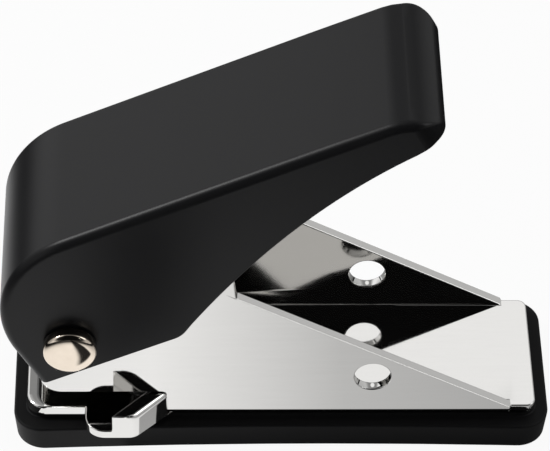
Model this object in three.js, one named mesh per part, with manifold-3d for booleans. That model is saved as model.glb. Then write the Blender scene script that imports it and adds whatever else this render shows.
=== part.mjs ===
// Dart flight punch: a plated frame on a chip tray, with a sprung hand lever over one small punch.
// Millimetres, +Z up. +X runs from the throat to the tip of the lever, +Y to the far side.
// The origin is the middle of the face that the tray stands on. The lever is drawn open.

import * as THREE from 'three';
import { mergeVertices } from 'three/addons/utils/BufferGeometryUtils.js';
import Module from 'manifold-3d';

const wasm = await Module();
wasm.setup();

// Clearances that several pieces share
const seatGap = 0.3;
const runningGap = 0.25;
const cutOverrun = 1;
const weldDistance = 0.0001;

// Chip tray
const trayLength = 82.2;
const trayThroatWidth = 28.4;
const trayWaistWidth = 26.4;
const trayTipWidth = 27.6;
const trayCornerRadius = 4.4;
const trayRimHeight = 4.2;
const trayEdgeRadius = 0.3;
const plinthInset = 2.1;
const plinthWidth = 22.5;
const plinthCornerRadius = 2.4;
const plinthHeight = 0.6;
const trayWall = 1.6;
const trayFloor = 1.4;
const liftOff = 8;

// Frame: base plate, side walls and jaw in one piece
const frameWidth = 23.5;
const frameSetback = 1.9;
const plateLength = 78.1;
const plateThickness = 1.55;
const plateFrontRadius = 3;
const plateRearRadius = 1.4;
const plateTabInset = 0.45;
const wallThickness = 1.55;
const wallFootRadius = 1.3;
const slopeAngle = THREE.MathUtils.degToRad(29.46);
const slopeFootFromFront = 74.2;
const wallBackFromFront = 31.9;
const wallBackLean = 0.6;
const wallTopAbovePivot = 13.8;
const wallCornerRadius = 0.8;
const wallTopCornerRadius = 1.6;
const throatHeight = 3.55;
const throatEndFromFront = 21.5;
const throatEndRadius = 0.7;
const noseFromFront = 2.2;
const noseRadius = 3.5;
const noseWebHeight = 19;
const jawFloorThickness = 2;
const backWebHeight = 24;
const sideHoleRadius = 2.8;
const sideHoleFromFront = 52.8;
const sideHoleAbovePlate = 6.9;
const railLength = 58;
const railThickness = 1.2;
const railDepth = 2.2;

// Flight guide: a tongue on each side of the plate and a bar on it that runs in to a point
const tongueReach = 4.85;
const tongueFromFront = 9.2;
const tongueCornerRadius = 3;
const guideTipPastThroat = 8.3;
const guideThickness = 2;
const guideTopGap = 0.3;
const guideCornerRadius = 2.4;

// Pivot: rivet, its far cap, the sleeve between the walls and the washers under the lever's ears
const pivotFromFront = 7.2;
const pivotHeight = 22.7;
const rivetRadius = 2;
const rivetHeadRadius = 4;
const rivetHeadSide = 1.3;
const rivetHeadHeight = 2.4;
const rivetCapSocket = 0.9;
const sleeveWall = 0.7;
const washerRadius = 4.5;
const washerThickness = 0.35;

// Lever: a drawn shell, in its own frame with the pivot at the origin and its top level
const openTilt = THREE.MathUtils.degToRad(26.3);
const leverSideGap = 0.85;
const leverWall = 1;
const leverBack = 8.35;
const leverTop = 19;
const leverTip = 66.9;
const leverBackRadius = 16.6;
const leverEdgeRadius = 1.4;
const leverTipRadius = 6.6;
const leverTipCornerRadius = 3.6;
const earDrop = 6;
const earLength = 15.6;
const earRadius = 4;
const sweepStart = { along: 18.2, up: -4.3 };
const sweepPull = { along: 41.2, up: 9.7 };
const sweepEnd = { along: 62, up: 12.4 };
const lipLow = { along: 65.4, up: 13.1 };
const stopGap = 0.3;
const backCutMargin = 1;

// Drive: the bracket inside the lever, its cross pin and the punch that the pin carries
const driveArm = 12;
const drivePinRadius = 1;
const bracketThickness = 1.2;
const bracketInside = 4.4;
const bracketTopLength = 12;
const bracketEarRadius = 2.6;
const punchRadius = 1.2;
const punchHeadRadius = 3.4;
const punchHeadHeight = 6;
const punchRecess = 0.4;
const headWasherRadius = 3.9;
const headWasherThickness = 0.5;
const guideBushRadius = 2.6;
const guideBushLength = 5.8;
const guideFlangeRadius = 4;
const guideFlangeThickness = 1;
const dieRadius = 3;
const dieClearance = 0.12;

// Punch spring
const springRadius = 3.3;
const wireRadius = 0.35;
const springTurns = 6;
const stepsPerTurn = 8;
const sidesOfWire = 5;

// Counts of facets
const arcSteps = 6;
const roundSteps = 28;
const bevelSteps = 3;
const longArcSteps = 14;
const domeSteps = 5;
const sideSteps = 3;

// Places that follow from the sizes
const plateFront = -trayLength / 2 + frameSetback;
const plinthTop = trayRimHeight + plinthHeight;
const plateBottom = plinthTop + seatGap;
const plateTop = plateBottom + plateThickness;
const jawBottom = plateTop + throatHeight;
const jawFloorTop = jawBottom + jawFloorThickness;
const halfFrame = frameWidth / 2;
const halfChannel = halfFrame - wallThickness;
const nose = plateFront + noseFromFront;
const throatEnd = plateFront + throatEndFromFront;
const slopeFoot = plateFront + slopeFootFromFront;
const wallBack = plateFront + wallBackFromFront;
const slopeTopHeight = plateTop + (slopeFoot - wallBack) * Math.tan(slopeAngle);
const backWebRear = wallBack - wallBackLean;
const backWebFront = backWebRear - wallThickness;
const pivotX = plateFront + pivotFromFront;
const wallTopHeight = pivotHeight + wallTopAbovePivot;
const halfLeverInside = halfFrame + leverSideGap;
const halfLever = halfLeverInside + leverWall;
const leverArcCentre = { along: leverBackRadius - leverBack, up: leverTop - leverBackRadius };
const punchX = pivotX + driveArm * (1 + Math.cos(openTilt)) / 2;
const drivePinHeight = pivotHeight + driveArm * Math.sin(openTilt);
const punchStroke = driveArm * Math.sin(openTilt);
const punchHeadBottom = drivePinHeight - punchHeadHeight / 2;
const headWasherBottom = punchHeadBottom - seatGap - headWasherThickness;
const guideFlangeBottom = jawFloorTop + seatGap;
const guideFlangeTop = guideFlangeBottom + guideFlangeThickness;
const springBottom = guideFlangeTop + seatGap + wireRadius;
const springTop = headWasherBottom - seatGap - wireRadius;

// A closed mesh becomes a solid once its seams are welded and its empty facets are gone
function toSolid(geometry) {
  const bare = new THREE.BufferGeometry();
  bare.setAttribute('position', geometry.getAttribute('position'));
  bare.setIndex(geometry.getIndex());
  const welded = mergeVertices(bare, weldDistance);
  const corners = welded.getIndex().array;
  const kept = [];
  for (let i = 0; i < corners.length; i += 3) {
    const [a, b, c] = [corners[i], corners[i + 1], corners[i + 2]];
    if (a !== b && b !== c && c !== a) {
      kept.push(a, b, c);
    }
  }
  const vertProperties = Float32Array.from(welded.getAttribute('position').array);
  return new wasm.Manifold(new wasm.Mesh({ numProp: 3, vertProperties, triVerts: Uint32Array.from(kept) }));
}

function toGeometry(solid) {
  const mesh = solid.getMesh();
  const geometry = new THREE.BufferGeometry();
  geometry.setAttribute('position', new THREE.BufferAttribute(Float32Array.from(mesh.vertProperties), 3));
  geometry.setIndex(Array.from(mesh.triVerts));
  geometry.computeVertexNormals();
  return geometry;
}

// Outline from corners given as [x, y, radius]; a corner without a radius stays sharp
function roundedOutline(corners) {
  const outline = [];
  corners.forEach(([x, y, radius = 0], i) => {
    const corner = new THREE.Vector2(x, y);
    if (radius === 0) {
      outline.push(corner);
      return;
    }
    const [beforeX, beforeY] = corners.at(i - 1);
    const [afterX, afterY] = corners[(i + 1) % corners.length];
    const toBefore = new THREE.Vector2(beforeX, beforeY).sub(corner).normalize();
    const toAfter = new THREE.Vector2(afterX, afterY).sub(corner).normalize();
    const halfAngle = Math.acos(toBefore.dot(toAfter)) / 2;
    const inward = toBefore.clone().add(toAfter).normalize();
    const centre = corner.clone().addScaledVector(inward, radius / Math.sin(halfAngle));
    const reach = radius / Math.tan(halfAngle);
    const first = corner.clone().addScaledVector(toBefore, reach).sub(centre);
    const last = corner.clone().addScaledVector(toAfter, reach).sub(centre);
    const sweep = Math.atan2(first.cross(last), first.dot(last));
    for (let k = 0; k <= arcSteps; k += 1) {
      const turned = first.clone().rotateAround(new THREE.Vector2(), sweep * k / arcSteps);
      outline.push(turned.add(centre));
    }
  });
  return outline;
}

function rectangle(left, right, low, high, radii = [0, 0, 0, 0]) {
  return roundedOutline([
    [left, low, radii[0]],
    [right, low, radii[1]],
    [right, high, radii[2]],
    [left, high, radii[3]],
  ]);
}

function arcOutline(centre, radius, from, to, steps) {
  const outline = [];
  for (let k = 0; k <= steps; k += 1) {
    const angle = from + (to - from) * k / steps;
    const along = centre.along + radius * Math.cos(angle);
    const up = centre.up + radius * Math.sin(angle);
    outline.push(new THREE.Vector2(along, up));
  }
  return outline;
}

// Extrusions of an outline: up along Z, across along Y, and lengthwise along X
function extrudeUp(outline, bottom, top) {
  const shape = new THREE.Shape(outline);
  const geometry = new THREE.ExtrudeGeometry(shape, { depth: top - bottom, bevelEnabled: false });
  geometry.translate(0, 0, bottom);
  return toSolid(geometry);
}

function extrudeAcross(outline, halfWidth, edgeRadius = 0) {
  const geometry = new THREE.ExtrudeGeometry(new THREE.Shape(outline), {
    depth: (halfWidth - edgeRadius) * 2,
    bevelEnabled: edgeRadius > 0,
    bevelThickness: edgeRadius,
    bevelSize: edgeRadius,
    bevelOffset: -edgeRadius,
    bevelSegments: bevelSteps,
  });
  geometry.rotateX(Math.PI / 2);
  geometry.translate(0, halfWidth - edgeRadius, 0);
  return toSolid(geometry);
}

function extrudeLengthwise(outline, from, to) {
  const shape = new THREE.Shape(outline);
  const geometry = new THREE.ExtrudeGeometry(shape, { depth: to - from, bevelEnabled: false });
  geometry.rotateX(Math.PI / 2);
  geometry.rotateZ(Math.PI / 2);
  geometry.translate(from, 0, 0);
  return toSolid(geometry);
}

function block(x, y, z) {
  return extrudeUp(rectangle(x[0], x[1], y[0], y[1]), z[0], z[1]);
}

// A body turned about the upright axis through x, y; its profile is [radius, height] from the bottom up
function turned(profile, x = 0, y = 0) {
  const points = profile.map(([radius, height]) => new THREE.Vector2(radius, height));
  const geometry = new THREE.LatheGeometry(points, roundSteps);
  geometry.rotateX(Math.PI / 2);
  geometry.translate(x, y, 0);
  return toSolid(geometry);
}

function cylinder(radius, bottom, top, x = 0, y = 0) {
  return turned([[0, bottom], [radius, bottom], [radius, top], [0, top]], x, y);
}

function ring(inner, outer, bottom, top, x = 0, y = 0) {
  return turned([[inner, bottom], [outer, bottom], [outer, top], [inner, top], [inner, bottom]], x, y);
}

// Lays an upright body on its side, so that its axis runs along Y through the given point
function layAcross(solid, x, z) {
  return solid.rotate([-90, 0, 0]).translate([x, 0, z]);
}

function crossHole(radius, halfWidth, x, z) {
  return layAcross(cylinder(radius, -halfWidth, halfWidth), x, z);
}

function piece(name, solid, colour, roughness, metalness) {
  const material = new THREE.MeshStandardMaterial({ color: colour, roughness, metalness });
  const mesh = new THREE.Mesh(toGeometry(solid), material);
  mesh.name = name;
  return mesh;
}

// Plan of the tray; its long sides draw in a little toward the middle
function trayOutline() {
  const halfLength = trayLength / 2;
  const halfWidthAt = (share) => {
    const ends = (trayThroatWidth + trayTipWidth) / 4;
    const lean = (trayTipWidth - trayThroatWidth) / 4;
    return trayWaistWidth / 2 + lean * share + (ends - trayWaistWidth / 2) * share ** 2;
  };
  const nearSide = [];
  for (let k = -sideSteps; k <= sideSteps; k += 1) {
    const share = k / sideSteps;
    const radius = Math.abs(k) === sideSteps ? trayCornerRadius : 0;
    nearSide.push([halfLength * share, -halfWidthAt(share), radius]);
  }
  const farSide = nearSide.map(([x, y, radius]) => [x, -y, radius]).reverse();
  return roundedOutline([...nearSide, ...farSide]);
}

// Soft black tray that the frame presses into; its hollow catches the punched chips
function chipTray() {
  const rim = new THREE.ExtrudeGeometry(new THREE.Shape(trayOutline()), {
    depth: trayRimHeight - 2 * trayEdgeRadius,
    bevelEnabled: true,
    bevelThickness: trayEdgeRadius,
    bevelSize: trayEdgeRadius,
    bevelOffset: -trayEdgeRadius,
    bevelSegments: bevelSteps,
  });
  rim.translate(0, 0, trayEdgeRadius);
  const upstand = (inset, bottom, top) => {
    const radii = Array(4).fill(plinthCornerRadius);
    const x = trayLength / 2 - plinthInset - inset;
    const y = plinthWidth / 2 - inset;
    return extrudeUp(rectangle(-x, x, -y, y, radii), bottom, top);
  };
  const plinth = upstand(0, trayFloor, plinthTop);
  const hollow = upstand(trayWall, trayFloor, plinthTop + cutOverrun);
  return toSolid(rim).add(plinth).subtract(hollow);
}

// Outline of one guide arm, from the front of the tongue in to the point, on the side given by sign
function guideArm(sign) {
  const outer = halfFrame + tongueReach;
  const tip = throatEnd + guideTipPastThroat;
  const outerTip = tip + guideThickness * Math.SQRT2;
  const corners = [
    [tip, 0],
    [tip - outer, -outer],
    [outerTip - outer, -outer, guideCornerRadius],
    [outerTip, 0],
  ];
  const outline = roundedOutline(corners).map((point) => new THREE.Vector2(point.x, point.y * -sign));
  return sign > 0 ? outline.reverse() : outline;
}

// The tongue is the part of the plate that stands out past the wall and carries the arm
function tongue(sign) {
  const outer = halfFrame + tongueReach;
  const outerTip = throatEnd + guideTipPastThroat + guideThickness * Math.SQRT2;
  const front = plateFront + tongueFromFront;
  const corners = [
    [front, -halfChannel],
    [front, -outer, tongueCornerRadius],
    [outerTip - outer, -outer, guideCornerRadius],
    [throatEnd, throatEnd - outerTip],
    [throatEnd, -halfChannel],
  ];
  const outline = roundedOutline(corners).map((point) => new THREE.Vector2(point.x, point.y * -sign));
  return extrudeUp(sign > 0 ? outline.reverse() : outline, plateBottom, plateTop);
}

// Side view of walls and jaw: foot, slope, upright back, top, arc over the pivot, nose and throat
function wallProfile() {
  const arcCentre = { along: pivotX + leverArcCentre.along, up: pivotHeight + leverArcCentre.up };
  const arcRadius = arcCentre.along - nose;
  const topAngle = Math.PI - Math.asin((wallTopHeight - arcCentre.up) / arcRadius);
  return [
    ...roundedOutline([
      [throatEnd, plateBottom],
      [slopeFoot, plateBottom],
      [slopeFoot, plateTop],
      [wallBack, slopeTopHeight, wallCornerRadius],
      [wallBack - wallBackLean, wallTopHeight, wallTopCornerRadius],
      [arcCentre.along + arcRadius * Math.cos(topAngle), wallTopHeight],
    ]).slice(0, -1),
    ...arcOutline(arcCentre, arcRadius, topAngle, Math.PI, longArcSteps),
    new THREE.Vector2(nose, jawBottom),
    ...roundedOutline([
      [nose, jawBottom],
      [throatEnd, jawBottom, throatEndRadius],
      [throatEnd, plateBottom],
    ]).slice(1, -1),
  ];
}

function frame() {
  const plateEnd = plateFront + plateLength;
  const past = cutOverrun;
  const halfTab = halfFrame - plateTabInset;
  const plate = extrudeUp(roundedOutline([
    [plateFront, -halfFrame, plateFrontRadius],
    [slopeFoot, -halfFrame],
    [slopeFoot, -halfTab],
    [plateEnd, -halfTab, plateRearRadius],
    [plateEnd, halfTab, plateRearRadius],
    [slopeFoot, halfTab],
    [slopeFoot, halfFrame],
    [plateFront, halfFrame, plateFrontRadius],
  ]), plateBottom, plateTop);
  const noseRadii = [noseRadius, 0, 0, noseRadius];
  const nosePlan = rectangle(nose, plateEnd + past, -halfFrame, halfFrame, noseRadii);
  const noseBody = extrudeUp(nosePlan, 0, wallTopHeight + past);
  const walls = extrudeAcross(wallProfile(), halfFrame).intersect(noseBody);
  const sideHoleX = plateFront + sideHoleFromFront;

  const pocketRadii = [noseRadius - wallThickness, 0, 0, noseRadius - wallThickness];
  const pocketPlan = rectangle(nose + wallThickness, backWebFront, -halfChannel, halfChannel, pocketRadii);
  const across = [-halfChannel, halfChannel];
  const cuts = [
    extrudeUp(pocketPlan, jawFloorTop, wallTopHeight + past),
    block([nose - past, nose + noseRadius], across, [noseWebHeight, wallTopHeight + past]),
    block([backWebFront - past, wallBack], across, [backWebHeight, wallTopHeight + past]),
    block([backWebRear, plateEnd + past], across, [plateTop, wallTopHeight + past]),
    block([throatEnd - past, wallBack], across, [plateTop, jawBottom]),
    crossHole(sideHoleRadius, halfFrame + past, sideHoleX, plateTop + sideHoleAbovePlate),
    crossHole(rivetRadius + seatGap, halfFrame + past, pivotX, pivotHeight),
    cylinder(guideBushRadius + seatGap, jawBottom - past, jawFloorTop + past, punchX),
    cylinder(dieRadius + seatGap, plateBottom - past, plateTop + past, punchX),
    ...[-1, 1].map((sign) => wallFootCut(sign, throatEnd, plateEnd + past)),
  ];
  const guideTop = jawBottom - guideTopGap;
  const additions = [-1, 1].flatMap((sign) => [
    tongue(sign),
    extrudeUp(guideArm(sign), plateBottom, guideTop),
    rail(sign),
  ]);
  let whole = plate.add(walls);
  cuts.forEach((cut) => {
    whole = whole.subtract(cut);
  });
  additions.forEach((addition) => {
    whole = whole.add(addition);
  });
  return whole;
}

// Rounds the lower outer edge of one wall
function wallFootCut(sign, from, to) {
  const centre = { along: halfFrame - wallFootRadius, up: plateBottom + wallFootRadius };
  const outline = [
    ...arcOutline(centre, wallFootRadius, -Math.PI / 2, 0, arcSteps),
    new THREE.Vector2(halfFrame + cutOverrun, centre.up),
    new THREE.Vector2(halfFrame + cutOverrun, plateBottom - cutOverrun),
    new THREE.Vector2(centre.along, plateBottom - cutOverrun),
  ].map((point) => new THREE.Vector2(point.x * sign, point.y));
  return extrudeLengthwise(sign > 0 ? outline.reverse() : outline, from, to);
}

// Rail under the plate that keeps the frame square in the tray
function rail(sign) {
  const outside = plinthWidth / 2 - trayWall - seatGap;
  const middle = plateFront + plateLength / 2;
  const y = [outside - railThickness, outside].map((value) => value * sign).sort((a, b) => a - b);
  const x = [middle - railLength / 2, middle + railLength / 2];
  return block(x, y, [plateBottom - railDepth, plateTop]);
}

// Half section of a rivet head that stands on seat: straight side, then a low dome
function rivetHead(seat) {
  const profile = [[rivetHeadRadius, seat]];
  for (let k = 0; k < domeSteps; k += 1) {
    const angle = Math.PI / 2 * k / domeSteps;
    const rise = (rivetHeadHeight - rivetHeadSide) * Math.sin(angle);
    profile.push([rivetHeadRadius * Math.cos(angle), seat + rivetHeadSide + rise]);
  }
  return [...profile, [0, seat + rivetHeadHeight]];
}

// Rivet: domed head outside the near ear, shank through everything to the far cap
function pivotRivet() {
  const headSeat = halfLever + seatGap;
  const shankEnd = headSeat + rivetCapSocket - seatGap;
  const profile = [
    [0, -shankEnd],
    [rivetRadius, -shankEnd],
    [rivetRadius, headSeat],
    ...rivetHead(headSeat),
  ];
  return layAcross(turned(profile).rotate([180, 0, 0]), pivotX, pivotHeight);
}

function rivetCap() {
  const seat = halfLever + seatGap;
  const profile = [
    [0, seat + rivetCapSocket],
    [rivetRadius + seatGap, seat + rivetCapSocket],
    [rivetRadius + seatGap, seat],
    ...rivetHead(seat),
  ];
  return layAcross(turned(profile), pivotX, pivotHeight);
}

function pivotSleeve() {
  const inner = rivetRadius + seatGap;
  const end = halfChannel - seatGap;
  return layAcross(ring(inner, inner + sleeveWall, -end, end), pivotX, pivotHeight);
}

function pivotWasher(sign) {
  const slack = (halfLeverInside - halfFrame - washerThickness) / 2;
  const low = halfFrame + slack;
  const washer = ring(rivetRadius + seatGap, washerRadius, low, low + washerThickness);
  return layAcross(sign > 0 ? washer : washer.rotate([180, 0, 0]), pivotX, pivotHeight);
}

// Side view of the lever shell before its lower edge is trimmed, inset from the outer face
function leverProfile(inset) {
  const low = -earDrop - leverEdgeRadius - cutOverrun;
  const back = -leverBack + inset;
  const tip = leverTip - inset;
  const arc = arcOutline(leverArcCentre, leverBackRadius - inset, Math.PI, Math.PI / 2, longArcSteps);
  const tipCorner = roundedOutline([
    [leverArcCentre.along, leverTop - inset],
    [tip, leverTop - inset, leverTipRadius - inset],
    [tip, low],
  ]).slice(1, -1);
  return [...arc, ...tipCorner, new THREE.Vector2(tip, low), new THREE.Vector2(back, low)].reverse();
}

function leverPlan(inset) {
  const radii = [0, leverTipCornerRadius - inset, leverTipCornerRadius - inset, 0];
  const halfWidth = halfLever - inset;
  return rectangle(-leverBack + inset, leverTip - inset, -halfWidth, halfWidth, radii);
}

function leverBlank(inset) {
  const body = extrudeAcross(leverProfile(inset), halfLever - inset, leverEdgeRadius - inset);
  const low = -earDrop - leverEdgeRadius - cutOverrun * 2;
  return body.intersect(extrudeUp(leverPlan(inset), low, leverTop + cutOverrun));
}

// Everything above the lower edge: straight under the ears, a sweep up to the tip, then the lip
function leverSideCut() {
  const sweep = new THREE.QuadraticBezierCurve(
    new THREE.Vector2(sweepStart.along, sweepStart.up),
    new THREE.Vector2(sweepPull.along, sweepPull.up),
    new THREE.Vector2(sweepEnd.along, sweepEnd.up),
  ).getPoints(longArcSteps);
  const ear = roundedOutline([
    [-leverBack - cutOverrun, -earDrop],
    [earLength, -earDrop, earRadius],
    [sweepStart.along, sweepStart.up],
  ]).slice(0, -1);
  const rest = [
    [lipLow.along, lipLow.up],
    [leverTip + cutOverrun, lipLow.up],
    [leverTip + cutOverrun, leverTop + cutOverrun],
    [-leverBack - cutOverrun, leverTop + cutOverrun],
  ].map(([x, y]) => new THREE.Vector2(x, y));
  return extrudeAcross([...ear, ...sweep, ...rest], halfLever + cutOverrun);
}

// The back wall ends where it meets the nose of the frame, which is what stops the lever when it opens
function leverShell() {
  const reach = leverBack - leverWall;
  const noseFromPivot = pivotX - nose;
  const backEdge = (noseFromPivot + stopGap - reach * Math.cos(openTilt)) / Math.sin(openTilt);
  const halfCut = halfLeverInside - backCutMargin;
  const low = -earDrop - cutOverrun;
  const backCutX = [-leverBack - cutOverrun, -leverBack + leverEdgeRadius];
  const backCut = block(backCutX, [-halfCut, halfCut], [low, backEdge]);
  return leverBlank(0)
    .subtract(leverBlank(leverWall))
    .intersect(leverSideCut())
    .subtract(backCut)
    .subtract(crossHole(rivetRadius + seatGap, halfLever + cutOverrun, 0, 0));
}

// Steel saddle fixed under the lever's top; its two ears hold the drive pin
function driveBracket() {
  const top = leverTop - leverWall - seatGap;
  const halfTop = bracketTopLength / 2;
  const low = arcOutline({ along: driveArm, up: 0 }, bracketEarRadius, Math.PI, 2 * Math.PI, arcSteps);
  const outline = [
    ...low,
    new THREE.Vector2(driveArm + halfTop, top - bracketThickness),
    new THREE.Vector2(driveArm + halfTop, top),
    new THREE.Vector2(driveArm - halfTop, top),
    new THREE.Vector2(driveArm - halfTop, top - bracketThickness),
  ];
  const inside = [-bracketInside, bracketInside];
  const along = [driveArm - halfTop - cutOverrun, driveArm + halfTop + cutOverrun];
  const boreHalfLength = bracketInside + bracketThickness + cutOverrun;
  const pinBore = crossHole(drivePinRadius + runningGap, boreHalfLength, driveArm, 0);
  return extrudeAcross(outline, bracketInside + bracketThickness)
    .subtract(block(along, inside, [-bracketEarRadius - cutOverrun, top - bracketThickness]))
    .subtract(pinBore);
}

function drivePin() {
  return crossHole(drivePinRadius, bracketInside + bracketThickness, driveArm, 0);
}

// Punch: a slim shank that cuts, and a head with a long cross slot for the drive pin
function punchPin() {
  const tip = jawBottom + punchRecess;
  const body = turned([
    [0, tip],
    [punchRadius, tip],
    [punchRadius, punchHeadBottom],
    [punchHeadRadius, punchHeadBottom],
    [punchHeadRadius, punchHeadBottom + punchHeadHeight],
    [0, punchHeadBottom + punchHeadHeight],
  ], punchX);
  const pinShift = driveArm * (1 - Math.cos(openTilt)) / 2;
  const halfHeight = drivePinRadius + runningGap;
  const halfLength = pinShift + halfHeight;
  const slot = rectangle(
    punchX - halfLength,
    punchX + halfLength,
    drivePinHeight - halfHeight,
    drivePinHeight + halfHeight,
    Array(4).fill(drivePinRadius),
  );
  return body.subtract(extrudeAcross(slot, punchHeadRadius + cutOverrun));
}

function guideBush() {
  const inner = punchRadius + runningGap;
  const top = jawBottom + guideBushLength;
  return turned([
    [inner, jawBottom],
    [guideBushRadius, jawBottom],
    [guideBushRadius, guideFlangeBottom],
    [guideFlangeRadius, guideFlangeBottom],
    [guideFlangeRadius, guideFlangeTop],
    [guideBushRadius, guideFlangeTop],
    [guideBushRadius, top],
    [inner, top],
    [inner, jawBottom],
  ], punchX);
}

// One unbroken wire wound as a coil; the least gap between its turns is measured on points of the coil
function punchSpring() {
  const steps = springTurns * stepsPerTurn;
  const rise = (springTop - springBottom) / steps;
  const centreOf = (k) => {
    const angle = 2 * Math.PI * k / stepsPerTurn;
    const [x, y] = [springRadius * Math.cos(angle), springRadius * Math.sin(angle)];
    return new THREE.Vector3(x, y, springBottom + rise * k);
  };
  const positions = [];
  const triangles = [];
  for (let k = 0; k <= steps; k += 1) {
    const centre = centreOf(k);
    const outward = new THREE.Vector3(centre.x, centre.y, 0).normalize();
    for (let side = 0; side < sidesOfWire; side += 1) {
      const angle = 2 * Math.PI * side / sidesOfWire;
      const point = centre.clone().addScaledVector(outward, wireRadius * Math.cos(angle));
      point.z += wireRadius * Math.sin(angle);
      positions.push(point.x + punchX, point.y, point.z);
    }
  }
  for (let k = 0; k < steps; k += 1) {
    for (let side = 0; side < sidesOfWire; side += 1) {
      const a = k * sidesOfWire + side;
      const b = k * sidesOfWire + (side + 1) % sidesOfWire;
      triangles.push(a, a + sidesOfWire, b);
      triangles.push(b, a + sidesOfWire, b + sidesOfWire);
    }
  }
  const lastRing = steps * sidesOfWire;
  for (let side = 1; side < sidesOfWire - 1; side += 1) {
    triangles.push(0, side, side + 1);
    triangles.push(lastRing, lastRing + side + 1, lastRing + side);
  }
  const geometry = new THREE.BufferGeometry();
  geometry.setAttribute('position', new THREE.Float32BufferAttribute(positions, 3));
  geometry.setIndex(triangles);
  let leastGap = Infinity;
  for (let k = 0; k + stepsPerTurn <= steps; k += 1) {
    const apart = centreOf(k).distanceTo(centreOf(k + stepsPerTurn)) - 2 * wireRadius;
    leastGap = Math.min(leastGap, apart);
  }
  console.log(`punch spring: least gap between turns ${leastGap.toFixed(2)} mm`);
  return toSolid(geometry);
}

const dieBore = punchRadius + dieClearance;
const headWasher = ring(
  punchRadius + seatGap,
  headWasherRadius,
  headWasherBottom,
  headWasherBottom + headWasherThickness,
  punchX,
);

const flightPunch = new THREE.Group();
flightPunch.add(
  piece('chip_tray', chipTray(), 0x1b1b1c, 0.75, 0),
  piece('frame', frame(), 0xd9dadc, 0.06, 1),
  piece('die_bush', ring(dieBore, dieRadius, plateBottom, plateTop, punchX), 0x8f9092, 0.3, 1),
  piece('guide_bush', guideBush(), 0x9a9b9c, 0.3, 1),
  piece('punch_pin', punchPin(), 0x7d7f82, 0.25, 1),
  piece('punch_head_washer', headWasher, 0xb4b6b8, 0.35, 1),
  piece('punch_spring', punchSpring(), 0xa9abad, 0.3, 1),
  piece('pivot_rivet', pivotRivet(), 0xd8cec2, 0.12, 1),
  piece('pivot_rivet_cap', rivetCap(), 0xd8cec2, 0.12, 1),
  piece('pivot_sleeve', pivotSleeve(), 0xb4b6b8, 0.35, 1),
  piece('near_pivot_washer', pivotWasher(-1), 0xe4e2dc, 0.6, 0),
  piece('far_pivot_washer', pivotWasher(1), 0xe4e2dc, 0.6, 0),
);

const lever = new THREE.Group();
lever.position.set(pivotX, 0, pivotHeight);
lever.rotation.y = -openTilt;
lever.add(
  piece('lever_shell', leverShell(), 0x202021, 0.42, 0),
  piece('drive_bracket', driveBracket(), 0xa2a4a6, 0.4, 1),
  piece('drive_pin', drivePin(), 0x8f9092, 0.25, 1),
);
flightPunch.add(lever);

console.log(`pivot at x ${pivotX.toFixed(3)}, z ${pivotHeight}; punch at x ${punchX.toFixed(3)}`);
console.log(`punch stroke ${punchStroke.toFixed(3)} mm, frame lifts off the tray by up to ${liftOff} mm`);

export default flightPunch;
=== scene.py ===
import math

import bmesh
import bpy
from mathutils import Matrix, Vector


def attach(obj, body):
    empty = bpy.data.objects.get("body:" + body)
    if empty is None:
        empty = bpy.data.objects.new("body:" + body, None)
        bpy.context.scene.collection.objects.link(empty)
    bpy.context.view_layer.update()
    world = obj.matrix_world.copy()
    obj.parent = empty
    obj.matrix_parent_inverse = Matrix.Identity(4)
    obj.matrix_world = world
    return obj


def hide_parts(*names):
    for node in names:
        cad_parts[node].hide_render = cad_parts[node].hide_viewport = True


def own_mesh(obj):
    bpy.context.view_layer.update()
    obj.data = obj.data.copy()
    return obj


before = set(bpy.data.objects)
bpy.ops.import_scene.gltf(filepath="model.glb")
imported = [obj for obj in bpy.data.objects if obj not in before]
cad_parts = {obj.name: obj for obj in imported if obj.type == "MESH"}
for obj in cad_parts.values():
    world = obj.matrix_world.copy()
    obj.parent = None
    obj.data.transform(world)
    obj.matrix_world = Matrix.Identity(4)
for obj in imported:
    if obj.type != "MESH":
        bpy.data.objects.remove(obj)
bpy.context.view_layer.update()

# Dart flight punch with its lever up. Meshes are drawn in millimetres and scaled to metres at the end.
mm = 0.001


def linearColour(hexText):
    # sRGB hex to the linear values that the shaders want
    channels = [int(hexText[i:i + 2], 16) / 255 for i in (0, 2, 4)]
    return [c / 12.92 if c <= 0.04045 else ((c + 0.055) / 1.055) ** 2.4 for c in channels] + [1.0]


def addNode(tree, kind, inputs=None, **settings):
    # inputs, by name or number, are plain values or the outputs that feed them
    node = tree.nodes.new(kind)
    for key, value in settings.items():
        setattr(node, key, value)
    for key, value in (inputs or {}).items():
        if isinstance(value, bpy.types.NodeSocket):
            tree.links.new(value, node.inputs[key])
        else:
            node.inputs[key].default_value = value
    return node


def newMaterial(name):
    # an empty material, its nodes, and the place on the piece that its patterns follow
    material = bpy.data.materials.new(name)
    material.use_nodes = True
    tree = material.node_tree
    tree.nodes.clear()
    return material, tree, addNode(tree, "ShaderNodeTexCoord").outputs["Object"]


def perMillimetre(size):
    # scale of a texture in object space whose features are this many millimetres apart
    return 1 / (size * mm)


# outlines and solids, all in millimetres
meshing = {
    "mergeWithin": 0.0005, "flatWithin": math.radians(0.4), "normalWeight": 90,
    "axisMerge": 0.0001, "skinMerge": 0.01, "skinLeast": 0.005,
}


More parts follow.
